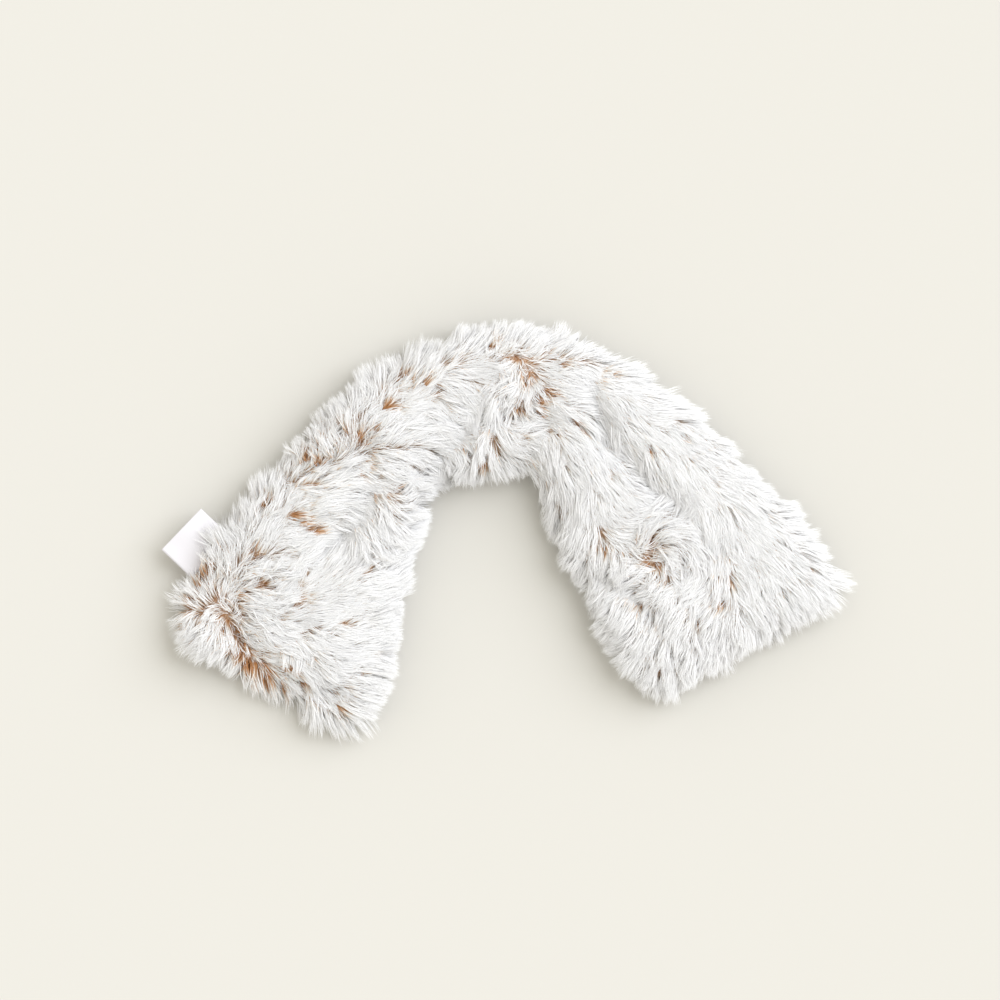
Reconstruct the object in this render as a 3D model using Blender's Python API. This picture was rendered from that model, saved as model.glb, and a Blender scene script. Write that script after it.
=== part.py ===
"""Microwavable neck wrap of long-pile plush, lying in an arch on a table.

Two plush panels meet at a level side seam round a grain filling, and a folded satin label
is caught in that seam. The pile's outer form is locks, united with the panel they grow from.
The origin is on the table, under the middle of the wrap, where it lies on the nape.
+X runs to the wearer's left leg, +Y away from the wearer, +Z up.
"""

import math
import random

import bmesh
import bpy
from mathutils import Matrix, Vector

# Cloth body without its free pile, in metres
WRAP_LENGTH = 0.544  # along the middle, from end seam to end seam
WRAP_WIDTH = 0.160  # across the widest section
WRAP_HEIGHT = 0.042  # from the table to the top of the plumpest section
SEAM_HEIGHT = 0.016  # the side seam over the table, level all the way round
END_SWELL = 0.034  # the length in which an end swells from its seam to full height
CORNER_TUCK = 0.008  # how far the corners are drawn in beside each end seam
FLAT_SHARE = 0.70  # the share of each section's width that lies flat on the table
EDGE_POWER = 2.7  # how square the crown of a section is: 2 is an ellipse
GRAIN_SETTLE = 0.05  # share of its height by which the grain has sunk from the top panel
CLEARANCE = 0.0003  # between pieces that touch
WALL = 0.0056  # backing cloth with the packed roots of its pile

# Locks of the pile
LOCK_LENGTH = 0.040
LOCK_WIDTH = 0.024
LOCK_HEIGHT = 0.0085  # crest over the cloth
LOCK_ROOT = 0.0007  # how deep a lock's underside sits in the wall
ROW_SPACING = 0.0355  # between rows of locks along the wrap
ACROSS_SPACING = 0.031  # between the locks of a row
FRINGE_REACH = 0.0125  # how far the edge locks stand out past the seam
FRINGE_WIDTH = 0.030
FRINGE_SPACING = 0.0275
FRINGE_HEIGHT = 0.0085
TABLE_GAP = 0.0008  # between the lower fringe and the table
OVERHANG = 0.45  # the share of a lock's length past the edge that shows beyond it
LIFT_UPWARD = 0.9  # how far the crests lean upward from square to the cloth
SEAM_GAP = 0.0004  # between a lock's underside and the level of the seam
LOCK_SEED = 11

# Satin label, folded and caught in the side seam
LABEL_WIDTH = 0.041
LABEL_REACH = 0.029  # from the seam to its fold
LABEL_ROOT = 0.0010  # the length caught between the panels
LABEL_THICKNESS = 0.0012
LABEL_LIFT = 0.0035  # how far its fold curls up
LABEL_SHARE = 0.125  # where it is sewn in, as a share of the wrap's length
LABEL_SKEW = -9.0  # degrees its fold is out of line with the seam
LABEL_GAP = 0.0004  # all round it, in its slot and among the locks

# Mesh fineness
STATIONS = 30
UPPER_STEPS = 8
CORNER_STEPS = 2
LABEL_STEPS = 5

# One row a section: where it is along the wrap, the way the wrap heads there and the way
# the section runs from its inner to its outer edge (degrees in plan, anticlockwise from +X),
# and its width and height as shares of WRAP_WIDTH and WRAP_HEIGHT.
SECTION_COLUMNS = ("share", "heading", "across", "width", "height")
SECTIONS = (
    (0.000, 66.0, 151.0, 0.97, 0.80),
    (0.095, 66.5, 156.0, 0.89, 0.86),
    (0.180, 67.0, 160.0, 0.78, 0.92),
    (0.258, 62.0, 158.0, 0.65, 0.97),
    (0.316, 50.0, 148.0, 0.52, 1.00),
    (0.369, 39.0, 130.0, 0.47, 1.00),
    (0.431, 21.5, 107.0, 0.51, 0.98),
    (0.490, 7.5, 89.0, 0.59, 0.96),
    (0.550, -6.0, 74.0, 0.58, 0.98),
    (0.612, -26.0, 56.0, 0.60, 1.00),
    (0.677, -43.5, 39.0, 0.70, 0.98),
    (0.754, -53.0, 31.0, 0.82, 0.94),
    (0.852, -55.0, 28.0, 0.90, 0.90),
    (0.932, -56.5, 30.0, 0.95, 0.86),
    (1.000, -60.0, 32.0, 0.96, 0.82),
)

# One row a crease in the top: its ends as shares of the length and of the half-width
# (1 at the outer edge, -1 at the inner), its depth as a share of WRAP_HEIGHT, and its
# half-width as a share of WRAP_WIDTH.
FOLD_COLUMNS = ("share_a", "across_a", "share_b", "across_b", "depth", "spread")
FOLDS = (
    (0.560, 0.42, 0.677, -0.15, 0.16, 0.055),
    (0.677, -0.15, 0.788, 0.02, 0.13, 0.055),
    (0.404, 0.30, 0.496, -0.20, 0.15, 0.050),
    (0.262, -0.14, 0.180, -0.08, 0.15, 0.050),
    (0.311, 0.35, 0.350, -0.60, 0.10, 0.050),
    (0.613, -0.30, 0.603, -0.95, 0.14, 0.045),
    (0.857, -0.20, 0.896, 0.35, 0.09, 0.055),
)

# One row a stretch of the wrap: the lay of the pile there as a step along the wrap
# (towards the right end) and a step across it, for a lock at the outer edge and at the inner.
LAY_COLUMNS = ("share", "outer_along", "outer_across", "inner_along", "inner_across")
LAYS = (
    (0.00, -0.8, 0.9, -0.7, -0.8),
    (0.15, 0.1, 1.0, 0.2, -1.0),
    (0.35, 0.2, 1.0, 0.8, -0.5),
    (0.50, 0.7, 0.8, 0.5, -0.9),
    (0.65, 1.0, 0.6, 0.8, -0.8),
    (0.85, 0.9, 0.6, 0.8, -0.7),
    (1.00, 1.0, 0.5, 1.0, -0.5),
)

PLUSH_WHITE = (0.84, 0.83, 0.80, 1.0)
PLUSH_CREAM = (0.78, 0.74, 0.68, 1.0)
SATIN_WHITE = (0.90, 0.88, 0.93, 1.0)
GRAIN_TAN = (0.52, 0.36, 0.18, 1.0)


def clear_scene():
    for obj in list(bpy.data.objects):
        bpy.data.objects.remove(obj, do_unlink=True)


def new_collection(name):
    collection = bpy.data.collections.new(name)
    bpy.context.scene.collection.children.link(collection)
    return collection


def new_material(name, colour, roughness):
    material = bpy.data.materials.new(name)
    material.use_nodes = True
    shader = material.node_tree.nodes["Principled BSDF"]
    shader.inputs["Base Color"].default_value = colour
    shader.inputs["Roughness"].default_value = roughness
    shader.inputs["Metallic"].default_value = 0.0
    return material


def read_table(rows, columns, name, share):
    """A column's value at a share of the length, eased from row to row by a cubic."""
    index = columns.index(name)
    xs = [row[0] for row in rows]
    ys = [row[index] for row in rows]
    share = min(max(share, xs[0]), xs[-1])
    k = max(i for i in range(len(xs) - 1) if xs[i] <= share)
    slopes = [(ys[i + 1] - ys[i]) / (xs[i + 1] - xs[i]) for i in range(len(xs) - 1)]

    def tangent(i):
        if i in (0, len(xs) - 1):
            return slopes[min(i, len(slopes) - 1)]
        return 0.5 * (slopes[i - 1] + slopes[i])

    step = xs[k + 1] - xs[k]
    t = (share - xs[k]) / step
    return (
        (2 * t**3 - 3 * t**2 + 1) * ys[k]
        + (t**3 - 2 * t**2 + t) * step * tangent(k)
        + (3 * t**2 - 2 * t**3) * ys[k + 1]
        + (t**3 - t**2) * step * tangent(k + 1)
    )


def section(name, share):
    return read_table(SECTIONS, SECTION_COLUMNS, name, share)


def plan_direction(degrees):
    return Vector((math.cos(math.radians(degrees)), math.sin(math.radians(degrees)), 0.0))


def make_spine(steps=400):
    """Points of the middle line at even shares of its length, with the origin at its middle."""
    points = [Vector((0, 0, 0))]
    for i in range(steps):
        heading = section("heading", (i + 0.5) / steps)
        points.append(points[-1] + plan_direction(heading) * (WRAP_LENGTH / steps))
    middle = points[steps // 2].copy()
    return [p - middle for p in points]


SPINE = make_spine()


def spine_point(share):
    """A point of the middle line, carried straight on past either end."""
    held = min(max(share, 0.0), 1.0)
    at = held * (len(SPINE) - 1)
    k = min(int(at), len(SPINE) - 2)
    point = SPINE[k].lerp(SPINE[k + 1], at - k)
    over = (share - held) * WRAP_LENGTH
    return point + plan_direction(section("heading", held)) * over


def swell(share):
    """0 at an end seam, 1 once the wrap is at its full height."""
    from_end = min(share, 1 - share) * WRAP_LENGTH
    t = min(max(from_end / END_SWELL, 0.0), 1.0)
    return math.sqrt(1 - (1 - t) ** 2)


def half_width(share):
    return 0.5 * WRAP_WIDTH * section("width", share) - CORNER_TUCK * (1 - swell(share)) ** 2


def fold_drop(share, across):
    """How far the creases press the top down at a place on it."""
    total = 0.0
    half = half_width(share)
    here = Vector((share * WRAP_LENGTH, across * half))
    for row in FOLDS:
        fold = dict(zip(FOLD_COLUMNS, row))
        a = Vector((fold["share_a"] * WRAP_LENGTH, fold["across_a"] * half))
        b = Vector((fold["share_b"] * WRAP_LENGTH, fold["across_b"] * half))
        t = min(max((here - a).dot(b - a) / (b - a).length_squared, 0.0), 1.0)
        reach = (here - a.lerp(b, t)).length / (fold["spread"] * WRAP_WIDTH)
        total += fold["depth"] * WRAP_HEIGHT * math.exp(-(reach**2) * 2)
    return total


def rounded(value, power):
    return math.copysign(abs(value) ** power, value)


def body_point(share, turn, inset, upper):
    """A point of the body's surface, drawn in by inset from the cloth's outside.

    turn is 0 at the outer edge and pi at the inner. inset moves the ends, edges, top and
    underside alike, and leaves the seam's level where it is.
    """
    inner_share = inset / WRAP_LENGTH + share * (1 - 2 * inset / WRAP_LENGTH)
    full = swell(share)
    half = half_width(share) - inset
    half_gap = 0.5 * CLEARANCE
    if upper:
        across = rounded(math.cos(turn), 2 / EDGE_POWER)
        rise = WRAP_HEIGHT * section("height", share) - SEAM_HEIGHT - half_gap - inset
        height = rise * math.sin(turn) ** (2 / EDGE_POWER)
        height -= fold_drop(share, across) * math.sin(turn) ** 2
        z = SEAM_HEIGHT + half_gap + height * full
    else:
        across, fall = lower_profile(turn)
        z = SEAM_HEIGHT - half_gap - (SEAM_HEIGHT - half_gap - inset) * fall * full
    point = spine_point(inner_share) + plan_direction(section("across", share)) * across * half
    point.z = z
    return point


def lower_profile(turn):
    """(place across, fall from the seam) on the underside: flat in the middle, round to the seam."""
    corner = math.pi / 4
    if turn < corner or turn > math.pi - corner:
        side = 1 if turn < corner else -1
        angle = (turn if side > 0 else math.pi - turn) * 2
        across = side * (FLAT_SHARE + (1 - FLAT_SHARE) * math.cos(angle))
        return across, math.sin(angle)
    return FLAT_SHARE * (1 - 2 * (turn - corner) / (math.pi - 2 * corner)), 1.0


def station_shares():
    """Shares of the length for the loft, closer together where the ends swell."""
    end = END_SWELL / WRAP_LENGTH
    near = [0.0, 0.08 * end, 0.28 * end, 0.6 * end]
    middle = STATIONS - 2 * len(near)
    inner = [end + (1 - 2 * end) * i / (middle - 1) for i in range(middle)]
    return near + inner + [1 - s for s in reversed(near)]


def section_turns(upper):
    """Turns for the points of a section: even over the top, and only round the corners below."""
    if upper:
        return [math.pi * j / UPPER_STEPS for j in range(UPPER_STEPS + 1)]
    corner = [0.25 * math.pi * j / CORNER_STEPS for j in range(CORNER_STEPS + 1)]
    return corner + [math.pi - turn for turn in reversed(corner)]


def surface_grid(bm, inset, upper):
    turns = section_turns(upper)
    rows = []
    for share in station_shares():
        rows.append([bm.verts.new(body_point(share, turn, inset, upper)) for turn in turns])
    return rows


def bridge_grid(bm, rows, upper):
    """Joins the rows by triangles, with each square split so that it bulges."""
    for a, b in zip(rows, rows[1:]):
        for j in range(len(a) - 1):
            p, q, r, s = a[j], b[j], b[j + 1], a[j + 1]
            if (p.co.z + r.co.z > q.co.z + s.co.z) == upper:
                bm.faces.new([p, q, r])
                bm.faces.new([p, r, s])
            else:
                bm.faces.new([q, r, s])
                bm.faces.new([q, s, p])


def grid_rim(rows):
    """The grid's border vertices, in order round it."""
    first, last = rows[0], rows[-1]
    outer = [row[0] for row in rows]
    inner = [row[-1] for row in rows]
    return outer + last[1:] + inner[::-1][1:] + first[::-1][1:-1]


def bridge_rims(bm, rim_a, rim_b):
    for k in range(len(rim_a)):
        after = (k + 1) % len(rim_a)
        bm.faces.new([rim_a[k], rim_a[after], rim_b[after], rim_b[k]])


def finish_mesh(bm, name, collection, material):
    bmesh.ops.recalc_face_normals(bm, faces=bm.faces)
    mesh = bpy.data.meshes.new(name)
    bm.to_mesh(mesh)
    bm.free()
    mesh.materials.append(material)
    obj = bpy.data.objects.new(name, mesh)
    collection.objects.link(obj)
    return obj


def make_panel(name, upper, collection, material):
    """One plush panel as a wall: its outside, its inside, and the rim along the seam."""
    bm = bmesh.new()
    outside = surface_grid(bm, 0.0, upper)
    inside = surface_grid(bm, WALL, upper)
    bridge_grid(bm, outside, upper)
    bridge_grid(bm, inside, upper)
    bridge_rims(bm, grid_rim(outside), grid_rim(inside))
    return finish_mesh(bm, name, collection, material)


def make_filling(collection, material):
    """The grain, which fills the inside of the two panels."""
    bm = bmesh.new()
    inset = WALL + CLEARANCE
    top = surface_grid(bm, inset, True)
    bottom = surface_grid(bm, inset, False)
    for row in top:
        for vert in row:
            vert.co.z -= GRAIN_SETTLE * (vert.co.z - SEAM_HEIGHT)
    bridge_grid(bm, top, True)
    bridge_grid(bm, bottom, False)
    for side in (0, -1):
        for k in range(len(top) - 1):
            bm.faces.new([top[k][side], top[k + 1][side], bottom[k + 1][side], bottom[k][side]])
    for end in (0, -1):
        bm.faces.new(top[end] + bottom[end][::-1])
    return finish_mesh(bm, "grain_filling", collection, material)


def lay_at(share, across):
    """The pile's lay as (metres along, metres across) for one metre of lock."""
    mix = 0.5 + 0.5 * across
    along = mix * read_table(LAYS, LAY_COLUMNS, "outer_along", share) + (1 - mix) * read_table(
        LAYS, LAY_COLUMNS, "inner_along", share
    )
    outwards = mix * read_table(LAYS, LAY_COLUMNS, "outer_across", share) + (1 - mix) * read_table(
        LAYS, LAY_COLUMNS, "inner_across", share
    )
    length = math.hypot(along, outwards)
    return along / length, outwards / length


def walked_point(share, turn, lift):
    """A point lift metres off the top panel's outside. Past an edge it runs on level with it."""
    held_share = min(max(share, 0.0), 1.0)
    held_turn = min(max(turn, 0.0), math.pi)
    point = body_point(held_share, held_turn, 0.0, True)
    side = plan_direction(section("across", held_share))
    ahead = plan_direction(section("heading", held_share))
    over_side = (held_turn - turn) * turn_metres(held_share) * OVERHANG
    over_end = (share - held_share) * WRAP_LENGTH * OVERHANG
    up = (surface_normal(held_share, held_turn) + Vector((0, 0, LIFT_UPWARD))).normalized()
    return point + side * over_side + ahead * over_end + up * lift


def turn_metres(share):
    """Metres of cloth across the top for one radian of turn."""
    rise = WRAP_HEIGHT * section("height", share) - SEAM_HEIGHT
    return 2 * (half_width(share) + 0.6 * rise) / math.pi


def surface_normal(share, turn):
    d = 0.01
    a, b = max(share - d, 0.0), min(share + d, 1.0)
    c, e = max(turn - 5 * d, 0.0), min(turn + 5 * d, math.pi)
    along = body_point(b, turn, 0.0, True) - body_point(a, turn, 0.0, True)
    across = body_point(share, e, 0.0, True) - body_point(share, c, 0.0, True)
    normal = across.cross(along)
    return normal.normalized() if normal.z >= 0 else -normal.normalized()


# A lock's rings from root to tip: shares of its length, width and height
LOCK_RINGS = ((0.0, 0.45, 0.25), (0.35, 1.0, 0.85), (0.72, 0.72, 1.0))
LOCK_TIP_LIFT = 0.35  # share of LOCK_HEIGHT


def lock_object(name, rings, tip, collection):
    """A closed lock: rings of left foot, crest and right foot, drawn to a point."""
    bm = bmesh.new()
    made = [[bm.verts.new(p) for p in ring] for ring in rings]
    end = bm.verts.new(tip)
    bm.faces.new(made[0])
    for a, b in zip(made, made[1:]):
        for k in range(3):
            after = (k + 1) % 3
            bm.faces.new([a[k], b[k], b[after], a[after]])
    for k in range(3):
        bm.faces.new([made[-1][k], end, made[-1][(k + 1) % 3]])
    bmesh.ops.triangulate(bm, faces=bm.faces)
    bmesh.ops.recalc_face_normals(bm, faces=bm.faces)
    mesh = bpy.data.meshes.new(name)
    bm.to_mesh(mesh)
    bm.free()
    obj = bpy.data.objects.new(name, mesh)
    obj.hide_render = True
    obj.display_type = "WIRE"
    collection.objects.link(obj)
    return obj


def underside_lift(rank, reach):
    """A lock's underside over the seam's level: it rises to the tip, each lock's at its own rate."""
    return SEAM_GAP * (1.5 + 0.4 * (rank % 3)) + (0.02 + 0.015 * (rank % 4)) * max(reach, 0.0)


def top_lock(name, share, turn, size, swing, rank, collection):
    """A lock rooted on the top panel, which follows the cloth and lifts at its tip."""
    along, outwards = lay_at(share, math.cos(turn))
    along, outwards = (
        along * math.cos(swing) - outwards * math.sin(swing),
        along * math.sin(swing) + outwards * math.cos(swing),
    )
    metres = turn_metres(share)

    def at(reach, sideways, lift):
        step_along = reach * along - sideways * outwards
        step_across = reach * outwards + sideways * along
        point = walked_point(share + step_along / WRAP_LENGTH, turn - step_across / metres, lift)
        point.z = max(point.z, SEAM_HEIGHT + underside_lift(rank, reach + 0.3 * sideways))
        return point

    rings = []
    for length, width, height in LOCK_RINGS:
        reach = length * LOCK_LENGTH * size
        half = 0.5 * width * LOCK_WIDTH * size * (0.7 + 0.3 * math.sin(turn))
        crest = height * LOCK_HEIGHT * size
        rings.append([at(reach, -half, -LOCK_ROOT), at(reach, 0.0, crest), at(reach, half, -LOCK_ROOT)])
    tip = at(LOCK_LENGTH * size, 0.0, LOCK_TIP_LIFT * LOCK_HEIGHT * size)
    return lock_object(name, rings, tip, collection)


def edge_places():
    """(place, outward way, onward way) every FRINGE_SPACING round the seam's outside."""
    ring = []
    steps = 160
    for i in range(steps + 1):
        ring.append(body_point(i / steps, 0.0, 0.0, True))
    cross = 24
    for j in range(1, cross):
        ring.append(body_point(1.0, math.pi * j / cross, 0.0, True))
    for i in range(steps, -1, -1):
        ring.append(body_point(i / steps, math.pi, 0.0, True))
    for j in range(cross - 1, 0, -1):
        ring.append(body_point(0.0, math.pi * j / cross, 0.0, True))
    lengths = [(ring[(k + 1) % len(ring)] - ring[k]).length for k in range(len(ring))]
    count = round(sum(lengths) / FRINGE_SPACING)
    pitch = sum(lengths) / count
    places, run, due = [], 0.0, 0.5 * pitch
    for k, length in enumerate(lengths):
        while due <= run + length and len(places) < count:
            start, end = ring[k], ring[(k + 1) % len(ring)]
            onward = (end - start).normalized()
            outward = Vector((-onward.y, onward.x, 0.0))
            places.append((start.lerp(end, (due - run) / length), outward, onward))
            due += pitch
        run += length
    return places


def fringe_lock(name, place, sizes, upper, rank, collection):
    """A lock at the seam that stands out level above it, or hangs from it to the table."""
    point, outward, onward = place
    reach = FRINGE_REACH * sizes[0]
    sway = onward * (sizes[1] * FRINGE_WIDTH)
    sign = 1 if upper else -1
    drop = FRINGE_HEIGHT if upper else SEAM_HEIGHT - 3 * SEAM_GAP - TABLE_GAP
    ring_shares = ((-0.28, 0.55, 0.45), (0.25, 1.0, 1.0), (0.72, 0.66, 0.92))
    rings = []
    for out, width, height in ring_shares:
        lift = sign * underside_lift(rank, out * reach)
        middle = Vector((point.x, point.y, SEAM_HEIGHT + lift)) + outward * (out * reach)
        middle += sway * max(out, 0.0)
        half = onward * (0.5 * width * FRINGE_WIDTH)
        crest = middle + Vector((0, 0, sign * height * drop))
        rings.append([middle - half, crest, middle + half])
    tip_height = 0.35 if upper else 0.75
    tip = Vector((point.x, point.y, SEAM_HEIGHT + sign * tip_height * drop)) + outward * reach + sway
    return lock_object(name, rings, tip, collection)


def make_top_locks(collection):
    rng = random.Random(LOCK_SEED)
    rows = round((WRAP_LENGTH - 0.5 * LOCK_LENGTH) / ROW_SPACING)
    for i in range(rows):
        share = (i + 0.5) / rows
        arc = math.pi * turn_metres(share)
        count = max(3, round(arc / ACROSS_SPACING))
        for j in range(count):
            turn = math.pi * (j + (0.3 if i % 2 else 0.7)) / count
            share_here = share + rng.uniform(-0.22, 0.22) / rows
            size = rng.uniform(0.85, 1.15)
            swing = rng.uniform(-0.45, 0.45)
            top_lock(f"top_{i}_{j}", share_here, turn, size, swing, i + j, collection)


def make_fringe(upper, collection):
    rng = random.Random(LOCK_SEED + (1 if upper else 2))
    for k, place in enumerate(edge_places()):
        sizes = (rng.uniform(0.8, 1.15), rng.uniform(-0.25, 0.25))
        side = "upper" if upper else "lower"
        fringe_lock(f"{side}_fringe_{k}", place, sizes, upper, k, collection)


def unite(panel, locks, cutter):
    """Unites a panel with its locks, cuts the label's room, and keeps the one solid body."""
    joined = panel.modifiers.new("locks", "BOOLEAN")
    joined.operation = "UNION"
    joined.operand_type = "COLLECTION"
    joined.collection = locks
    joined.solver = "EXACT"
    room = panel.modifiers.new("label_room", "BOOLEAN")
    room.operation = "DIFFERENCE"
    room.object = cutter
    room.solver = "EXACT"
    graph = bpy.context.evaluated_depsgraph_get()
    mesh = bpy.data.meshes.new_from_object(panel.evaluated_get(graph))
    panel.modifiers.clear()
    panel.data = mesh
    for lock in list(locks.objects):
        bpy.data.objects.remove(lock, do_unlink=True)
    keep_largest_body(mesh)


def keep_largest_body(mesh):
    """Closes any pocket shut in between locks: only the outer skin is kept."""
    bm = bmesh.new()
    bm.from_mesh(mesh)
    bmesh.ops.triangulate(bm, faces=bm.faces)
    left = set(bm.verts)
    bodies = []
    while left:
        body, queue = set(), [left.pop()]
        while queue:
            vert = queue.pop()
            body.add(vert)
            for edge in vert.link_edges:
                other = edge.other_vert(vert)
                if other in left:
                    left.remove(other)
                    queue.append(other)
        bodies.append(body)
    bodies.sort(key=len)
    spare = [vert for body in bodies[:-1] for vert in body]
    bmesh.ops.delete(bm, geom=spare, context="VERTS")
    bm.to_mesh(mesh)
    bm.free()


def label_frame():
    """(seam point, outward way, onward way) where the label is sewn in."""
    seam = body_point(LABEL_SHARE, 0.0, 0.0, True)
    ahead = body_point(LABEL_SHARE + 0.02, 0.0, 0.0, True) - body_point(LABEL_SHARE - 0.02, 0.0, 0.0, True)
    onward = Vector((ahead.x, ahead.y, 0.0)).normalized()
    onward.rotate(Matrix.Rotation(math.radians(LABEL_SKEW), 3, "Z"))
    outward = Vector((-onward.y, onward.x, 0.0))
    return Vector((seam.x, seam.y, SEAM_HEIGHT)), outward, onward


def label_slab(name, grow, root, collection, material):
    """The label's outline, grown by a gap for its room: flat in the seam, curling up outside."""
    seam, outward, onward = label_frame()
    bm = bmesh.new()
    half_width_here = 0.5 * LABEL_WIDTH + grow
    half_thick = 0.5 * LABEL_THICKNESS + grow
    rows = []
    for i in range(LABEL_STEPS + 1):
        t = i / LABEL_STEPS
        out = -root - grow + t * (LABEL_REACH + root + 2 * grow)
        curl = LABEL_LIFT * max(out / LABEL_REACH, 0.0) ** 2
        middle = seam + outward * out + Vector((0, 0, curl))
        side = onward * half_width_here
        up = Vector((0, 0, half_thick))
        corners = (-side - up, side - up, side + up, up - side)
        rows.append([bm.verts.new(middle + corner) for corner in corners])
    bm.faces.new(rows[0])
    bm.faces.new(rows[-1][::-1])
    for a, b in zip(rows, rows[1:]):
        for k in range(4):
            bm.faces.new([a[k], b[k], b[(k + 1) % 4], a[(k + 1) % 4]])
    return finish_mesh(bm, name, collection, material)


def main():
    clear_scene()
    parts = new_collection("neck_wrap")
    cutters = new_collection("cutters")
    locks = new_collection("locks")
    white_plush = new_material("white_plush", PLUSH_WHITE, 0.9)
    cream_plush = new_material("cream_plush", PLUSH_CREAM, 0.9)
    satin = new_material("white_satin", SATIN_WHITE, 0.4)
    grain = new_material("wheat_grain", GRAIN_TAN, 0.8)

    label_slab("sewn_label", 0.0, LABEL_ROOT, parts, satin)
    label_room = label_slab("label_room", LABEL_GAP, LABEL_ROOT, cutters, satin)
    label_room.hide_render = True
    label_room.display_type = "WIRE"

    make_filling(parts, grain)
    upper = make_panel("upper_plush_panel", True, parts, white_plush)
    make_top_locks(locks)
    make_fringe(True, locks)
    unite(upper, locks, label_room)
    lower = make_panel("lower_plush_panel", False, parts, cream_plush)
    make_fringe(False, locks)
    unite(lower, locks, label_room)


main()
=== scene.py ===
import math

import bmesh
import bpy
import numpy as np
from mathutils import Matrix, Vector
from mathutils.bvhtree import BVHTree
from mathutils.kdtree import KDTree


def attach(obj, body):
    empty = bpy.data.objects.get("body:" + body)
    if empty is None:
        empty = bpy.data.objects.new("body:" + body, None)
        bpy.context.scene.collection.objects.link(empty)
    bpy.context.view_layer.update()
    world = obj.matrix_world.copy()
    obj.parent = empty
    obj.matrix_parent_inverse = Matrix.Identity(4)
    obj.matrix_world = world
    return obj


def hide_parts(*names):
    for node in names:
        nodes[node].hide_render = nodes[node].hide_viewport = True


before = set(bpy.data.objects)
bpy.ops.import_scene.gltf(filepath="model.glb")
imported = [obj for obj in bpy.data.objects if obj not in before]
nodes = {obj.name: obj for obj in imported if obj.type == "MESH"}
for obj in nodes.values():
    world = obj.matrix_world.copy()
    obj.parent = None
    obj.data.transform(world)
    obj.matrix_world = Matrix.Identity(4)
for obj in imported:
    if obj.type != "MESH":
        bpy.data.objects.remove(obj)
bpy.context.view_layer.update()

bpy.ops.object.select_all(action="DESELECT")
scene = bpy.context.scene


# Table, light and camera
# The wrap lies on a cream table top, lit by a large soft window up and to the right,
# and is seen from straight above.

FRAME_WIDTH = 0.7248  # of table seen across the picture
FRAME_CENTRE = (0.0122, -0.0706)
CAMERA_HEIGHT = 3.0


def linear(hex_colour, alpha=1.0):
    """A six-digit sRGB colour as linear values."""
    parts = [int(hex_colour[i : i + 2], 16) / 255 for i in (0, 2, 4)]
    return [c / 12.92 if c <= 0.04045 else ((c + 0.055) / 1.055) ** 2.4 for c in parts] + [alpha]


def add_node(tree, kind, inputs=None, **settings):
    """Adds a node, sets it, and fills or links its inputs by name or number."""
    made = tree.nodes.new(kind)
    for key, value in settings.items():
        setattr(made, key, value)
    for key, value in (inputs or {}).items():
        if isinstance(value, bpy.types.NodeSocket):
            tree.links.new(value, made.inputs[key])
        else:
            made.inputs[key].default_value = value
    return made


def new_material(name):
    material = bpy.data.materials.new(name)
    material.use_nodes = True
    return material, material.node_tree, material.node_tree.nodes["Principled BSDF"]


bpy.ops.mesh.primitive_plane_add(size=4.0, location=(0, 0, 0))
table = bpy.context.active_object
table.name = "table_top"
# Matt paint, a pale cream without any shine.
table_paint, tree, shader = new_material("matt_cream_lacquer")
shader.inputs["Base Color"].default_value = linear("D6D4CE")
shader.inputs["Roughness"].default_value = 0.85
shader.inputs["Specular IOR Level"].default_value = 0.1
table.data.materials.append(table_paint)

world = bpy.data.worlds.new("white_room")
scene.world = world
world.use_nodes = True
world.node_tree.nodes["Background"].inputs["Color"].default_value = linear("FFFCF3")
world.node_tree.nodes["Background"].inputs["Strength"].default_value = 0.90

window = bpy.data.lights.new("window", "SUN")
window.angle = math.radians(55)
window.energy = 2.15
window.color = linear("F3F7FF")[:3]
window_object = bpy.data.objects.new("window", window)
window_object.rotation_euler = (-Vector((0.85, 0.45, 0.95))).to_track_quat("-Z", "Y").to_euler()
scene.collection.objects.link(window_object)

camera = bpy.data.cameras.new("camera")
camera.sensor_width = 36.0
camera.lens = 36.0 * CAMERA_HEIGHT / FRAME_WIDTH
camera_object = bpy.data.objects.new("camera", camera)
camera_object.location = (*FRAME_CENTRE, CAMERA_HEIGHT)
scene.collection.objects.link(camera_object)
scene.camera = camera_object
scene.view_settings.view_transform = "Standard"


# Stuffed cloth body
# The knitted backing of the plush, sewn to a bag and stuffed with grain. It is tan, and shows
# only where the pile parts. It is blown up from the grain as the stuffing fills it.

BACKING_OUT = 0.0030  # from the grain's outside to the backing cloth's
VOXEL = 0.005
PUFF_CAP = 0.003  # how far the grain may push the cloth out
PRESSED = 0.0030  # height of the pile pressed under the wrap

# Where the lower panel stands out past the upper one: x, y, how far round this holds, how far
# it stands out, and the height that it ends at.
FLANGES = (
    (0.128, -0.220, 0.020, 0.012, 0.016), (0.158, -0.211, 0.020, 0.012, 0.016),
    (0.188, -0.200, 0.020, 0.010, 0.016), (0.250, -0.134, 0.020, 0.004, 0.050),
    (-0.180, -0.206, 0.016, 0.008, 0.016), (-0.158, -0.214, 0.018, 0.011, 0.016),
    (-0.136, -0.226, 0.018, 0.008, 0.016), (-0.105, -0.238, 0.020, 0.008, 0.016),
)

grain = nodes["grain_filling"]
body = bpy.data.objects.new("stuffed_cloth_body", grain.data.copy())
scene.collection.objects.link(body)
body.data.materials.clear()
bpy.context.view_layer.objects.active = body
body.select_set(True)

merged = bmesh.new()
merged.from_mesh(body.data)
bmesh.ops.remove_doubles(merged, verts=merged.verts, dist=0.00002)
bmesh.ops.recalc_face_normals(merged, faces=merged.faces)
merged.to_mesh(body.data)
merged.free()


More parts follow.
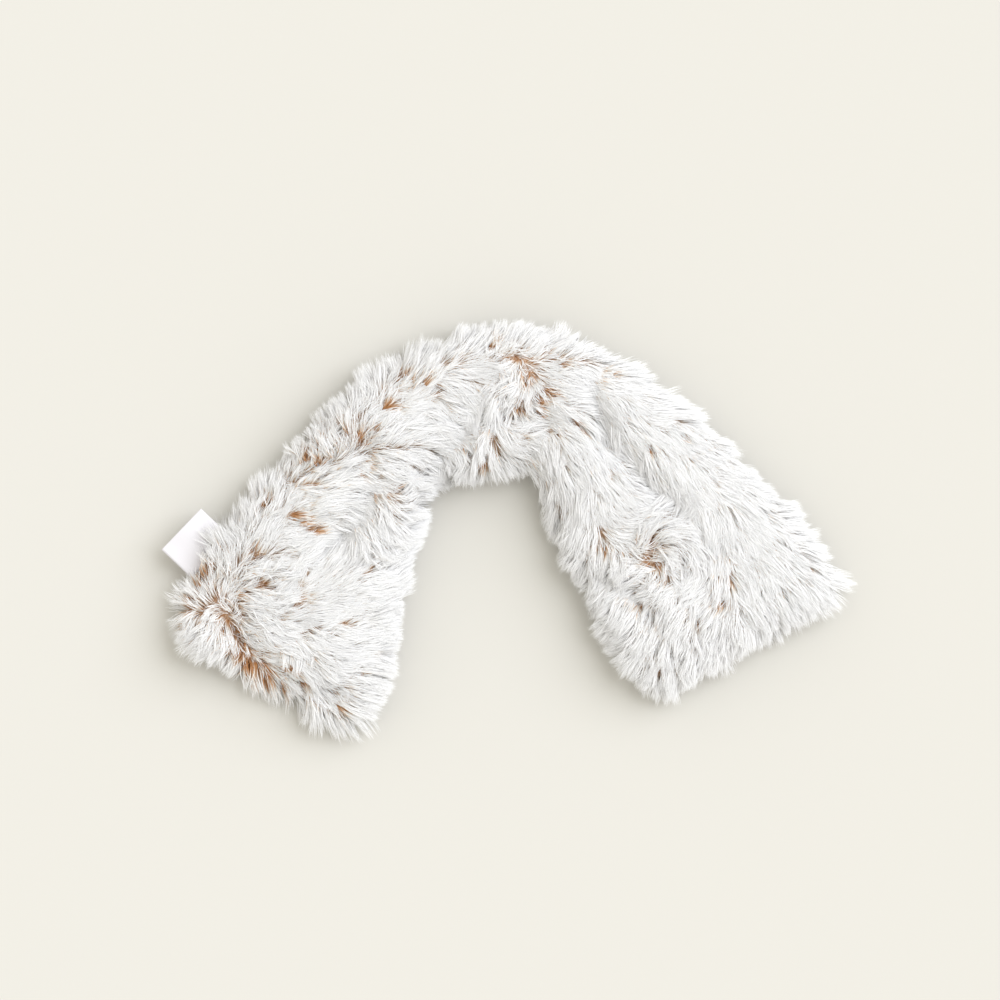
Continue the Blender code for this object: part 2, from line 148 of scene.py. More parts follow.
def apply_modifier(obj, kind, **settings):
    modifier = obj.modifiers.new(kind.lower(), kind)
    for key, value in settings.items():
        setattr(modifier, key, value)
    bpy.ops.object.modifier_apply(modifier=modifier.name)


apply_modifier(body, "REMESH", mode="VOXEL", voxel_size=VOXEL)
apply_modifier(body, "SMOOTH", factor=0.5, iterations=6)
apply_modifier(body, "DISPLACE", mid_level=0.0, strength=BACKING_OUT)


PX = 0.00072  # metres of table for one step of the places below
ORIGIN_PX = (483, 402)

# Creases between the plump masses of grain: places right and down across the picture in steps
# of PX, how far to each side they reach, and how deep they are.
CREASES = (
    (((579, 381), (592, 410), (604, 438), (629, 463), (650, 488), (668, 506)), 0.009, 0.009),
    (((604, 566), (640, 590), (655, 612)), 0.008, 0.007),
    (((362, 490), (347, 520), (329, 552)), 0.008, 0.008),
    (((421, 470), (440, 440), (470, 416), (497, 413), (540, 420)), 0.008, 0.007),
    (((236, 628), (252, 655), (285, 678), (330, 688)), 0.008, 0.007),
    (((268, 500), (300, 478), (330, 470), (362, 452)), 0.008, 0.006),
)


def on_table(right, down):
    """Metres on the table for a place in the picture."""
    return (np.asarray(right) - ORIGIN_PX[0]) * PX, (ORIGIN_PX[1] - np.asarray(down)) * PX


def mesh_points(mesh):
    points = np.empty(len(mesh.vertices) * 3)
    mesh.vertices.foreach_get("co", points)
    return points.reshape(-1, 3)


def set_points(mesh, points):
    mesh.vertices.foreach_set("co", points.ravel())
    mesh.update()


before = mesh_points(body.data)
cloth = body.modifiers.new("cloth", "CLOTH")
cloth.settings.quality = 5
cloth.settings.mass = 0.3
cloth.settings.tension_stiffness = 40
cloth.settings.compression_stiffness = 40
cloth.settings.bending_stiffness = 2
cloth.settings.use_pressure = True
cloth.settings.uniform_pressure_force = 3
cloth.settings.effector_weights.gravity = 0
scene.frame_start = 1
scene.frame_end = 20
for number in range(1, 21):
    scene.frame_set(number)
bpy.ops.object.modifier_apply(modifier=cloth.name)
after = mesh_points(body.data)
step = after - before
reach = np.linalg.norm(step, axis=1, keepdims=True)
set_points(body.data, before + step * np.minimum(1, PUFF_CAP / np.maximum(reach, 1e-9)))
scene.frame_set(1)

apply_modifier(body, "SUBSURF", levels=1, render_levels=1)
points = mesh_points(body.data)
facing = np.empty(len(body.data.vertices) * 3, np.float32)
body.data.vertex_normals.foreach_get("vector", facing)
facing = facing.reshape(-1, 3)
for x, y, around, out, top in FLANGES:
    apart = (points[:, 0] - x) ** 2 + (points[:, 1] - y) ** 2
    pushed = out * np.exp(-apart / around**2) * np.clip((top - points[:, 2]) / 0.006, 0, 1)
    points[:, :2] += facing[:, :2] * pushed[:, None]
for line, around, depth in CREASES:
    ends = np.array([on_table(*place) for place in line])
    apart = np.full(len(points), 1.0)
    for a, b in zip(ends, ends[1:]):
        t = np.clip(((points[:, :2] - a) @ (b - a)) / ((b - a) @ (b - a)), 0, 1)
        apart = np.minimum(apart, np.linalg.norm(points[:, :2] - a - t[:, None] * (b - a), axis=1))
    points[:, 2] -= depth * np.exp(-((apart / around) ** 2)) * np.clip(points[:, 2] / 0.030, 0, 1)
points[:, 2] = np.maximum(points[:, 2], PRESSED)
set_points(body.data, points)
bpy.ops.object.shade_smooth()
body.select_set(False)

backing, tree, shader = new_material("knitted_tan_backing")
place = add_node(tree, "ShaderNodeTexCoord").outputs["Object"]
# A matt tan knit, whose stitches stand 1.2 mm apart.
knit = add_node(tree, "ShaderNodeTexVoronoi", {"Vector": place, "Scale": 1 / 0.0012})
tone = add_node(tree, "ShaderNodeTexNoise", {"Vector": place, "Scale": 1 / 0.006})
ramp = add_node(tree, "ShaderNodeValToRGB", {"Fac": tone.outputs["Fac"]})
ramp.color_ramp.elements[0].color = linear("C79B74")
ramp.color_ramp.elements[1].color = linear("E6D5C4")
bump = add_node(tree, "ShaderNodeBump", {"Height": knit.outputs["Distance"], "Distance": 0.0004})
tree.links.new(ramp.outputs["Color"], shader.inputs["Base Color"])
tree.links.new(bump.outputs["Normal"], shader.inputs["Normal"])
shader.inputs["Roughness"].default_value = 0.9
body.data.materials.append(backing)

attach(body, "root")
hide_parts("upper_plush_panel", "lower_plush_panel", "grain_filling")


# Pile
# Long acrylic pile, white over tan roots, combed one way on the right leg and ruffled on the
# left. Each strand is a flat tapered ribbon, and strands gather in locks and the locks in tufts.

PILE_LENGTH = 0.0235
STRAND_WIDTH = 0.00044
STRANDS = 25500  # in each of the five pieces
LOCK_SPACING = 0.0025
TUFT_SPACING = 0.0125
PILE_AREA = 0.105  # of cloth with pile on it, in square metres
LAY_BLEND = 0.0095  # how far the lay at one place carries into the next
PARTING_SHARE = 0.8  # of the reaches in PARTINGS
TUFT_DEPTH = 0.0055  # how high one tuft may lie over the next
SEED = 7

# Where the pile lies which way: right and down across the picture in steps of PX, the heading
# of the tips in degrees anticlockwise from the right, how ruffled it is (0 combed, 1 on end).
LAY = (
    (152, 605, 190, 0.5), (180, 575, 155, 0.5), (199, 559, 150, 0.6), (203, 610, 195, 0.9),
    (194, 649, 225, 0.4), (220, 675, 245, 0.3), (251, 686, 262, 0.3), (292, 702, 288, 0.3),
    (327, 720, 300, 0.3), (354, 738, 290, 0.3), (354, 693, 342, 0.2), (354, 648, 2, 0.1),
    (363, 604, 22, 0.2), (381, 577, 35, 0.2), (399, 550, 28, 0.2), (318, 577, 50, 0.1),
    (292, 532, 358, 0.2), (318, 506, 5, 0.3), (265, 493, 80, 0.5), (245, 480, 110, 0.4),
    (226, 515, 105, 0.5), (215, 541, 120, 0.5), (214, 576, 65, 0.8), (247, 586, 30, 0.8),
    (262, 612, 10, 0.6), (228, 645, 218, 0.8), (274, 640, 330, 0.4), (300, 620, 340, 0.3),
    (310, 655, 345, 0.4), (300, 670, 320, 0.7), (262, 645, 15, 0.6), (330, 620, 10, 0.2),
    (280, 565, 20, 0.4), (250, 540, 60, 0.5), (385, 640, 5, 0.2), (380, 700, 345, 0.2),
    (304, 419, 118, 0.3), (330, 400, 112, 0.3), (357, 384, 110, 0.3), (393, 362, 115, 0.3),
    (280, 440, 125, 0.4), (260, 460, 125, 0.5), (420, 366, 35, 0.2), (464, 351, 50, 0.3),
    (429, 384, 30, 0.6), (464, 380, 350, 0.3), (446, 401, 330, 0.4), (411, 405, 345, 0.3),
    (420, 430, 350, 0.2), (386, 441, 25, 0.4), (330, 441, 100, 0.8), (312, 455, 120, 1.0),
    (295, 482, 350, 0.5), (321, 491, 5, 0.3), (343, 482, 350, 0.3), (375, 464, 330, 0.4),
    (411, 464, 325, 0.4), (429, 482, 315, 0.4), (402, 485, 50, 0.6), (420, 509, 335, 0.3),
    (375, 509, 285, 0.5), (402, 535, 25, 0.4), (366, 535, 320, 0.5), (339, 526, 352, 0.2),
    (330, 562, 60, 0.2), (357, 580, 48, 0.2), (402, 580, 35, 0.2), (425, 535, 10, 0.3),
    (485, 328, 65, 0.4), (547, 331, 30, 0.3), (592, 342, 12, 0.2), (565, 364, 2, 0.5),
    (610, 364, 350, 0.1), (645, 372, 345, 0.1), (672, 399, 340, 0.1), (619, 399, 325, 0.2),
    (583, 390, 322, 0.2), (601, 426, 300, 0.2), (556, 410, 350, 0.4), (511, 396, 240, 0.7),
    (499, 417, 272, 0.4), (467, 408, 330, 0.4), (458, 431, 355, 0.3), (529, 421, 12, 0.4),
    (517, 439, 20, 0.5), (547, 444, 300, 0.3), (565, 471, 285, 0.2), (540, 471, 310, 0.4),
    (470, 470, 240, 0.5), (485, 475, 270, 0.4), (505, 466, 325, 0.4), (458, 453, 255, 0.5),
    (592, 453, 295, 0.2), (619, 462, 318, 0.2), (654, 453, 305, 0.3), (690, 435, 325, 0.2),
    (565, 498, 280, 0.2), (601, 498, 290, 0.2), (636, 489, 345, 0.3), (663, 480, 302, 0.2),
    (699, 480, 315, 0.2), (547, 515, 250, 0.3), (574, 533, 260, 0.3), (619, 521, 350, 0.4),
    (663, 524, 22, 0.4), (601, 551, 270, 0.4), (699, 524, 290, 0.2), (645, 552, 60, 0.8),
    (670, 555, 300, 0.8), (655, 578, 200, 0.8), (628, 569, 240, 0.3), (583, 569, 250, 0.3),
    (734, 466, 328, 0.2), (770, 475, 345, 0.1), (779, 501, 345, 0.1), (752, 510, 330, 0.1),
    (805, 528, 340, 0.2), (832, 555, 352, 0.2), (796, 555, 322, 0.2), (761, 546, 310, 0.2),
    (707, 501, 300, 0.2), (707, 537, 285, 0.2), (734, 573, 300, 0.3), (761, 582, 290, 0.3),
    (805, 582, 310, 0.2), (841, 582, 325, 0.2), (814, 609, 295, 0.3), (779, 618, 290, 0.2),
    (796, 644, 300, 0.3), (743, 626, 290, 0.3), (770, 653, 290, 0.3), (716, 626, 265, 0.4),
    (725, 662, 275, 0.3), (689, 644, 265, 0.3), (707, 689, 280, 0.3), (671, 671, 272, 0.3),
    (663, 698, 270, 0.3), (636, 662, 250, 0.3), (627, 617, 235, 0.3), (645, 600, 240, 0.4),
    (618, 635, 225, 0.3), (707, 582, 212, 0.4), (686, 564, 265, 0.4), (671, 591, 258, 0.4),
    (600, 600, 245, 0.3), (640, 700, 260, 0.3), (745, 440, 335, 0.2), (705, 405, 335, 0.2),
    (235, 600, 30, 0.8), (248, 622, 22, 0.8), (285, 662, 350, 0.4), (247, 668, 235, 0.5),
    (264, 684, 255, 0.4), (215, 625, 205, 0.8),
)

# Where the pile parts and its tan roots show: right and down as above, reach in steps of PX,
# and how tan it is. Beyond the real tan roots, this tan is painted shade for the shadow in the parting.
PARTINGS = (
    (211, 575, 8, 0.9), (203, 588, 7, 0.9), (169, 602, 6, 0.7), (193, 601, 5, 0.6),
    (186, 627, 4, 0.6), (236, 632, 6, 0.9), (241, 643, 8, 1.0), (249, 650, 7, 1.0),
    (239, 652, 5, 0.9), (248, 661, 6, 0.9), (257, 662, 8, 1.0), (266, 671, 8, 1.0),
    (281, 666, 5, 0.9), (291, 665, 6, 0.9), (282, 681, 6, 0.9), (303, 679, 6, 0.9),
    (332, 688, 5, 0.6), (375, 675, 4, 0.7), (357, 673, 4, 0.5), (338, 705, 5, 0.8),
    (359, 726, 5, 0.9), (380, 708, 3, 0.9), (380, 715, 3, 0.9), (295, 516, 6, 0.9),
    (302, 523, 7, 1.0), (310, 530, 7, 1.0), (265, 511, 5, 0.9), (272, 508, 4, 0.8),
    (255, 556, 4, 0.8), (261, 583, 6, 0.6), (292, 606, 4, 0.7), (372, 556, 5, 0.8),
    (394, 489, 5, 0.8), (386, 493, 4, 0.6), (374, 493, 4, 0.6), (376, 475, 4, 0.5),
    (356, 472, 4, 0.8), (310, 459, 7, 0.9), (296, 453, 6, 0.8), (311, 444, 5, 0.7),
    (320, 464, 6, 0.8), (310, 476, 5, 0.7), (349, 436, 5, 0.8), (361, 443, 7, 0.9),
    (373, 434, 5, 0.7), (343, 427, 4, 0.7), (386, 409, 6, 0.9), (407, 378, 4, 0.6),
    (424, 387, 6, 0.8), (434, 391, 4, 0.5), (490, 353, 6, 1.0), (500, 361, 5, 0.7),
    (528, 373, 5, 0.9), (526, 380, 5, 0.9), (545, 391, 6, 0.9), (537, 401, 8, 1.0),
    (534, 411, 5, 0.8), (519, 405, 4, 0.8), (506, 413, 4, 0.7), (560, 366, 4, 0.5),
    (572, 421, 4, 0.8), (577, 427, 4, 0.8), (610, 377, 4, 0.4), (649, 449, 5, 0.6),
    (680, 437, 5, 0.6), (623, 437, 3, 0.4), (605, 544, 4, 0.8), (594, 542, 3, 0.6),
    (658, 563, 5, 0.6), (483, 458, 6, 0.9), (470, 452, 4, 0.6), (649, 614, 5, 0.6),
    (721, 602, 5, 0.5), (696, 623, 4, 0.5), (657, 651, 4, 0.5), (680, 658, 4, 0.4),
    (730, 578, 4, 0.4), (806, 568, 4, 0.4), (682, 562, 4, 0.4), (335, 452, 5, 0.4), (282, 470, 5, 0.5),
)

# The wrap's middle line: share of its length, heading in degrees.
ARCH_LENGTH = 0.544
ARCH = (
    (0.0, 66.0), (0.18, 67.0), (0.258, 62.0), (0.316, 50.0), (0.369, 39.0), (0.431, 21.5),
    (0.49, 7.5), (0.55, -6.0), (0.612, -26.0), (0.677, -43.5), (0.754, -53.0), (0.852, -55.0),
    (0.932, -56.5), (1.0, -60.0),
)

# Where the pile reaches out further or less: right and down as above, how far this holds in
# steps of PX, and the share of the usual length.
REACHES = (
    (165, 652, 24, 0.68), (192, 668, 16, 0.85), (255, 702, 24, 1.20), (300, 726, 24, 1.25),
    (345, 742, 26, 1.40), (595, 670, 24, 0.66), (612, 700, 20, 0.85), (578, 640, 20, 0.75),
    (560, 600, 20, 0.85), (835, 575, 30, 1.40), (700, 698, 32, 1.20), (655, 712, 28, 1.25),
    (748, 682, 28, 1.20), (202, 560, 20, 1.70), (222, 540, 15, 1.25), (180, 608, 18, 1.50),
    (450, 338, 30, 0.85), (490, 328, 24, 0.88), (560, 332, 25, 0.90), (408, 560, 20, 0.80),
    (400, 610, 22, 0.74), (394, 655, 22, 0.62), (392, 690, 20, 0.78), (455, 500, 25, 1.15),
    (785, 470, 30, 1.20),
)

rng = np.random.default_rng(SEED)


def unit(vectors):
    return vectors / np.maximum(np.linalg.norm(vectors, axis=-1, keepdims=True), 1e-12)


def arch_points(steps=200):
    shares = (np.arange(steps) + 0.5) / steps
    headings = np.radians(np.interp(shares, [r[0] for r in ARCH], [r[1] for r in ARCH]))
    line = np.cumsum(np.stack([np.cos(headings), np.sin(headings)], 1), axis=0) * ARCH_LENGTH / steps
    return line - line[steps // 2 - 1], shares


def surface_roots(mesh, count, keep):
    """Places and normals spread evenly over the faces that keep picks out."""
    mesh.calc_loop_triangles()
    corners = np.empty(len(mesh.loop_triangles) * 3, np.int32)
    mesh.loop_triangles.foreach_get("vertices", corners)
    corners = corners.reshape(-1, 3)
    places = mesh_points(mesh)
    normals = np.empty(len(mesh.vertices) * 3, np.float32)
    mesh.vertex_normals.foreach_get("vector", normals)
    normals = normals.reshape(-1, 3).astype(float)
    a, b, c = (places[corners[:, k]] for k in range(3))
    cross = np.cross(b - a, c - a)
    area = np.linalg.norm(cross, axis=1) * keep((a + b + c) / 3, unit(cross))
    picked = rng.choice(len(area), count, p=area / area.sum())
    u, v = rng.random((2, count))
    fold = u + v > 1
    u[fold], v[fold] = 1 - u[fold], 1 - v[fold]
    weights = np.stack([1 - u - v, u, v], 1)[:, :, None]
    chosen = corners[picked]
    return (places[chosen] * weights).sum(1), unit((normals[chosen] * weights).sum(1))


def nearest(centres, places):
    tree_of = KDTree(len(centres))
    for i, centre in enumerate(centres):
        tree_of.insert(centre, i)
    tree_of.balance()
    return np.array([tree_of.find(place)[1] for place in places])


lay_x, lay_y = on_table([r[0] for r in LAY], [r[1] for r in LAY])
lay_heading = np.radians([r[2] for r in LAY])
lay_ruffle = np.array([r[3] for r in LAY], float)


def lay_at(places):
    """(unit direction of the pile in plan, how ruffled it is) at each place."""
    apart = (places[:, :1] - lay_x) ** 2 + (places[:, 1:2] - lay_y) ** 2
    weights = np.exp(-apart / (2 * LAY_BLEND**2)) + 1e-9 / (apart + 1e-5)
    weights /= weights.sum(1, keepdims=True)
    plan = np.stack([weights @ np.cos(lay_heading), weights @ np.sin(lay_heading)], 1)
    return unit(plan), weights @ lay_ruffle


def reach_at(places):
    """Share of the usual length that the pile has at each place."""
    longer = np.ones(len(places))
    for right, down, around, part in REACHES:
        x, y = on_table(right, down)
        apart = (places[:, 0] - x) ** 2 + (places[:, 1] - y) ** 2
        longer *= 1 + (part - 1) * np.exp(-apart / (around * PX) ** 2)
    return longer


def turned(plan, angle):
    c, s = np.cos(angle), np.sin(angle)
    return np.stack([plan[:, 0] * c - plan[:, 1] * s, plan[:, 0] * s + plan[:, 1] * c], 1)


GRID = 0.002
low = np.array([-0.30, -0.30])
grid_shape = (300, 200)
body_tree = BVHTree.FromPolygons(
    [v.co for v in body.data.vertices], [p.vertices for p in body.data.polygons]
)
crown = np.zeros(grid_shape)
for i in range(grid_shape[0]):
    for j in range(grid_shape[1]):
        hit = body_tree.ray_cast(Vector((low[0] + i * GRID, low[1] + j * GRID, 0.2)), Vector((0, 0, -1)))
        if hit[0] is not None:
            crown[i, j] = hit[0].z


def crown_at(x, y):
    """Height of the cloth body over the table, 0 beside it."""
    u = np.clip((x - low[0]) / GRID, 0, grid_shape[0] - 2)
    v = np.clip((y - low[1]) / GRID, 0, grid_shape[1] - 2)
    i, j = u.astype(int), v.astype(int)
    du, dv = u - i, v - j
    lower = crown[i, j] * (1 - du) + crown[i + 1, j] * du
    upper = crown[i, j + 1] * (1 - du) + crown[i + 1, j + 1] * du
    return lower * (1 - dv) + upper * dv


# Shares of a strand's length at its joints, and its width there as a share of the widest
JOINTS = np.array([0.0, 0.24, 0.50, 0.77, 1.0])
WIDTHS = np.array([0.9, 1.0, 0.9, 0.6, 0.0])


def strand_curves(roots, normals, plan, lengths, lift, sag, curl):
    """Points at JOINTS of strands that rise at lift, bend over along plan and sag and curl."""
    flat = np.zeros((len(plan), 1))
    down = np.array([0.0, 0.0, -1.0])
    along = np.concatenate([turned(plan, -0.5 * curl), flat], 1)
    start = unit(along * np.cos(lift)[:, None] + normals * np.sin(lift)[:, None])
    facing = (start * normals).sum(1, keepdims=True)
    start = unit(start + normals * np.maximum(0.3 - facing, 0))
    side = 1 - np.clip(normals[:, 2:3], 0, 1)
    along = np.concatenate([turned(plan, 0.5 * curl), flat], 1)
    end = unit(along + normals * side * 0.5 + down * (sag[:, None] + 0.55 * side))
    points = [roots]
    for before, after in zip(JOINTS, JOINTS[1:]):
        t = 0.5 * (before + after)
        t = min(1.0, 1.35 * t)
        way = unit(start * (1 - t) + end * t)
        points.append(points[-1] + way * ((after - before) * lengths)[:, None])
    return np.stack(points, 1)


def gather(points, heads, tightness):
    """Draws strands to the heads of their lock, more so to the tip."""
    pull = tightness[:, None, None] * (JOINTS**1.4)[None, :, None]
    return points + (heads - points) * pull


def clear_of_body(points, normals, layer):
    """Lifts what would pass into the cloth body or the table."""
    upper = normals[:, 2] > -0.15
    floor = crown_at(points[:, :, 0], points[:, :, 1])
    over = np.where(floor > 0.006, floor, 0.0) + layer[:, None] * JOINTS[None, :]
    lifted = np.maximum(points[:, :, 2], over)
    points[:, :, 2] = np.where(upper[:, None], lifted, points[:, :, 2])
    points[:, :, 2] = np.maximum(points[:, :, 2], 0.0003 + 0.1 * layer[:, None])
    return points


def ribbons(name, points, widths, roll, tone, material, faces_up):
    """One mesh of flat ribbons along the points, whose map runs across by tone and up by length."""
    count, joints = points.shape[:2]
    ahead = unit(np.gradient(points, axis=1))
    across = unit(np.cross(ahead, faces_up[:, None, :]))
    square = np.cross(across, ahead)
    across = across * np.cos(roll)[:, None, None] + square * np.sin(roll)[:, None, None]
    half = 0.5 * widths[:, None, None] * WIDTHS[None, :, None]
    left = points - across * half
    right = points + across * half
    corners = np.empty((count, 2 * joints - 1, 3))
    corners[:, 0 : 2 * joints - 2 : 2] = left[:, :-1]
    corners[:, 1 : 2 * joints - 2 : 2] = right[:, :-1]
    corners[:, -1] = points[:, -1]
    squares = joints - 2
    pattern = []
    for k in range(squares):
        pattern += [2 * k, 2 * k + 1, 2 * k + 3, 2 * k + 2]
    pattern += [2 * squares, 2 * squares + 1, 2 * squares + 2]
    pattern = np.array(pattern)
    base = (np.arange(count) * (2 * joints - 1))[:, None]
    loops = (base + pattern).ravel()
    starts = np.concatenate([np.arange(squares) * 4, [squares * 4]])
    starts = ((np.arange(count) * len(pattern))[:, None] + starts).ravel()

    mesh = bpy.data.meshes.new(name)
    mesh.vertices.add(corners.shape[0] * corners.shape[1])
    mesh.loops.add(len(loops))
    mesh.polygons.add(len(starts))
    mesh.vertices.foreach_set("co", corners.ravel())
    mesh.loops.foreach_set("vertex_index", loops.astype(np.int32))
    mesh.polygons.foreach_set("loop_start", starts.astype(np.int32))
    mesh.polygons.foreach_set("use_smooth", np.ones(len(starts), bool))
    mesh.update(calc_edges=True)

    column = (np.floor(np.clip(tone, 0, 0.999) * 128) + 0.5) / 128
    u = np.empty((count, 2 * joints - 1))
    u[:, 0 : 2 * joints - 2 : 2] = (column - 0.4 / 128)[:, None]
    u[:, 1 : 2 * joints - 2 : 2] = (column + 0.4 / 128)[:, None]
    u[:, -1] = column
    v = np.empty((count, 2 * joints - 1))
    v[:, 0 : 2 * joints - 2 : 2] = JOINTS[:-1]
    v[:, 1 : 2 * joints - 2 : 2] = JOINTS[:-1]
    v[:, -1] = 1.0
    flat = np.stack([u.ravel()[loops], 0.002 + 0.996 * v.ravel()[loops]], 1)
    mesh.uv_layers.new(name="OFBake").uv.foreach_set("vector", flat.ravel().astype(np.float32))
    mesh.materials.append(material)

    obj = bpy.data.objects.new(name, mesh)
    scene.collection.objects.link(obj)
    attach(obj, "root")
    return obj


pile_material, tree, shader = new_material("tipped_acrylic_pile")
# The map's right is how tan a strand is, its up the way from root to tip. A tan strand is
# tan to beyond its middle, a white one only at its root.
uv = add_node(tree, "ShaderNodeUVMap", uv_map="OFBake").outputs["UV"]
split = add_node(tree, "ShaderNodeSeparateXYZ", {"Vector": uv})
tan_share = split.outputs["X"]
up_share = split.outputs["Y"]
start = add_node(tree, "ShaderNodeMath", {0: tan_share, 1: 0.60, 2: -0.08}, operation="MULTIPLY_ADD")
finish_at = add_node(tree, "ShaderNodeMath", {0: tan_share, 1: 0.66, 2: 0.31}, operation="MULTIPLY_ADD")
fade = add_node(
    tree,
    "ShaderNodeMapRange",
    {"Value": up_share, "From Min": start.outputs[0], "From Max": finish_at.outputs[0]},
)
ramp = add_node(tree, "ShaderNodeValToRGB", {"Fac": fade.outputs["Result"]})
ramp.color_ramp.elements[0].color = linear("C68F5E")
ramp.color_ramp.elements[1].color = linear("FCFCFD")
ramp.color_ramp.elements.new(0.35).color = linear("E0C9B3")
ramp.color_ramp.elements.new(0.65).color = linear("F4F1ED")
fleck = add_node(
    tree, "ShaderNodeTexNoise", {"Vector": uv, "Scale": 60.0, "Detail": 1.0}, noise_dimensions="2D"
)
shade = add_node(
    tree,
    "ShaderNodeMapRange",
    {"Value": fleck.outputs["Fac"], "From Min": 0.3, "From Max": 0.7, "To Min": 0.9, "To Max": 1.0},
)
colour = add_node(
    tree,
    "ShaderNodeMix",
    {"Factor": 1.0, "A": ramp.outputs["Color"], "B": shade.outputs["Result"]},
    data_type="RGBA",
    blend_type="MULTIPLY",
)
tree.links.new(colour.outputs["Result"], shader.inputs["Base Color"])
shader.inputs["Roughness"].default_value = 0.6
shader.inputs["Specular IOR Level"].default_value = 0.25

roots, normals = surface_roots(
    body.data, 5 * STRANDS, lambda centre, normal: (centre[:, 2] > PRESSED + 0.0004) * 1.0
)
line, shares = arch_points()
apart = ((roots[:, None, :2] - line[None]) ** 2).sum(2)
share = shares[apart.argmin(1)]

# Locks and tufts take the roots of some strands as their own.
lock_count = int(PILE_AREA / LOCK_SPACING**2)
tuft_count = int(PILE_AREA / TUFT_SPACING**2)
lock_ids = rng.choice(len(roots), lock_count, replace=False)
tuft_ids = rng.choice(len(roots), tuft_count, replace=False)
tuft_of_lock = nearest(roots[tuft_ids], roots[lock_ids])
lock_of = nearest(roots[lock_ids], roots)
tuft_of = tuft_of_lock[lock_of]

tuft_plan, tuft_ruffle = lay_at(roots[tuft_ids])
tuft_swing = rng.normal(0, 1, tuft_count) * (0.12 + 0.5 * tuft_ruffle)
lock_plan, lock_ruffle = lay_at(roots[lock_ids])
lock_swing = rng.normal(0, 1, lock_count) * (0.07 + 0.30 * lock_ruffle)
tuft_lift = rng.normal(0, 0.14, tuft_count)
lock_lift = tuft_lift[tuft_of_lock] + rng.normal(0, 0.07, lock_count)
tuft_size = rng.uniform(0.78, 1.15, tuft_count)
lock_size = tuft_size[tuft_of_lock] * rng.uniform(0.92, 1.06, lock_count)
lock_curl = rng.normal(0, 1, lock_count) * (0.25 + 0.7 * lock_ruffle)


def curves_of(places, facing, locks, strand_swing, strand_lift, strand_size):
    plan, ruffle = lay_at(places)
    plan = turned(plan, tuft_swing[tuft_of_lock[locks]] + lock_swing[locks] + strand_swing)
    lift = np.radians(20 + 48 * ruffle) + lock_lift[locks] * (0.6 + ruffle) + strand_lift
    lift = np.clip(lift, 0.12, 1.35)
    sag = 0.22 - 0.25 * ruffle
    lengths = PILE_LENGTH * lock_size[locks] * strand_size * (1 - 0.15 * ruffle) * reach_at(places)
    drawn = strand_curves(places, facing, plan, lengths, lift, sag, lock_curl[locks])
    return drawn, plan, ruffle, lengths


lock_curves = curves_of(
    roots[lock_ids], normals[lock_ids], np.arange(lock_count), 0.0, 0.0, 1.0
)[0]
tuft_locks = nearest(roots[lock_ids], roots[tuft_ids])
tuft_curves = lock_curves[tuft_locks]
count = len(roots)
curves, plan, ruffle, lengths = curves_of(
    roots,
    normals,
    lock_of,
    rng.normal(0, 0.12, count),
    rng.normal(0, 0.07, count),
    rng.uniform(0.8, 1.1, count),
)
curves = gather(curves, lock_curves[lock_of], rng.uniform(0.15, 0.75, count))
curves = gather(curves, tuft_curves[tuft_of], rng.uniform(0.1, 0.3, count))

# A strand that would cross a parting stops short of it, and those in it are tan: tan roots,
# and further along painted shade for the shadow in the parting.
tan = np.clip(rng.beta(1.3, 6.0, count) * (0.3 + 1.5 * ruffle), 0, 1)
for right, down, reach, strength in PARTINGS:
    x, y = on_table(right, down)
    reach = PARTING_SHARE * reach * PX
    away = np.array([x, y]) - roots[:, :2]
    apart = np.linalg.norm(away, axis=1)
    inside = apart < reach
    tan = np.where(inside, np.maximum(tan, strength * rng.uniform(0.35, 1.0, count)), tan)
    ahead = (away * plan).sum(1)
    beside = np.abs(away[:, 0] * plan[:, 1] - away[:, 1] * plan[:, 0])
    crossing = (~inside) & (ahead > 0) & (ahead < lengths) & (beside < reach * 0.8)
    keep = np.where(crossing, np.clip((ahead - 0.3 * reach) / lengths, 0.45, 1.0), 1.0)
    curves = curves[:, :1] + (curves - curves[:, :1]) * keep[:, None, None]

tuft_layer = rng.uniform(0.0, TUFT_DEPTH, tuft_count)
layer = 0.0004 + tuft_layer[tuft_of] + rng.uniform(0, 0.0012, count)
curves = clear_of_body(curves, normals, layer)
widths = STRAND_WIDTH * rng.uniform(0.7, 1.3, count)
roll = rng.normal(0, 0.45, count)
order = np.argsort(share, kind="stable")
names = ("pile_left_end", "pile_left_leg", "pile_nape", "pile_right_leg", "pile_right_end")
for name, chosen in zip(names, np.array_split(order, 5)):
    facing = unit(normals[chosen] + np.array([0, 0, 0.6]))
    pile = ribbons(
        name,
        curves[chosen],
        widths[chosen],
        roll[chosen],
        tan[chosen],
        pile_material,
        facing,
    )
    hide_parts("upper_plush_panel", "lower_plush_panel")


# Pile under the wrap
# The same pile on the lower panel, pressed flat against the table by the weight of the grain.

UNDER_STRANDS = 5000

under_roots, under_normals = surface_roots(
    body.data, UNDER_STRANDS, lambda centre, normal: (centre[:, 2] <= PRESSED + 0.0004) * 1.0
)
count = len(under_roots)
plan, ruffle = lay_at(under_roots)
plan = turned(plan, rng.normal(0, 0.5, count))
lengths = PILE_LENGTH * rng.uniform(0.7, 1.0, count)
flat = strand_curves(
    under_roots, under_normals, plan, lengths, np.full(count, 0.15), np.zeros(count), np.zeros(count)
)
depth = rng.uniform(0.1, 1.0, count)[:, None]
flat[:, :, 2] = PRESSED - (PRESSED - 0.0003) * depth * np.minimum(1, JOINTS * 3)[None, :]
under = ribbons(
    "pile_underside",
    flat,
    STRAND_WIDTH * rng.uniform(1.2, 2.0, count),
    rng.normal(0, 0.15, count),
    rng.beta(1.5, 4.0, count),
    pile_material,
    np.tile([0.0, 0.0, -1.0], (count, 1)),
)
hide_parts("lower_plush_panel")
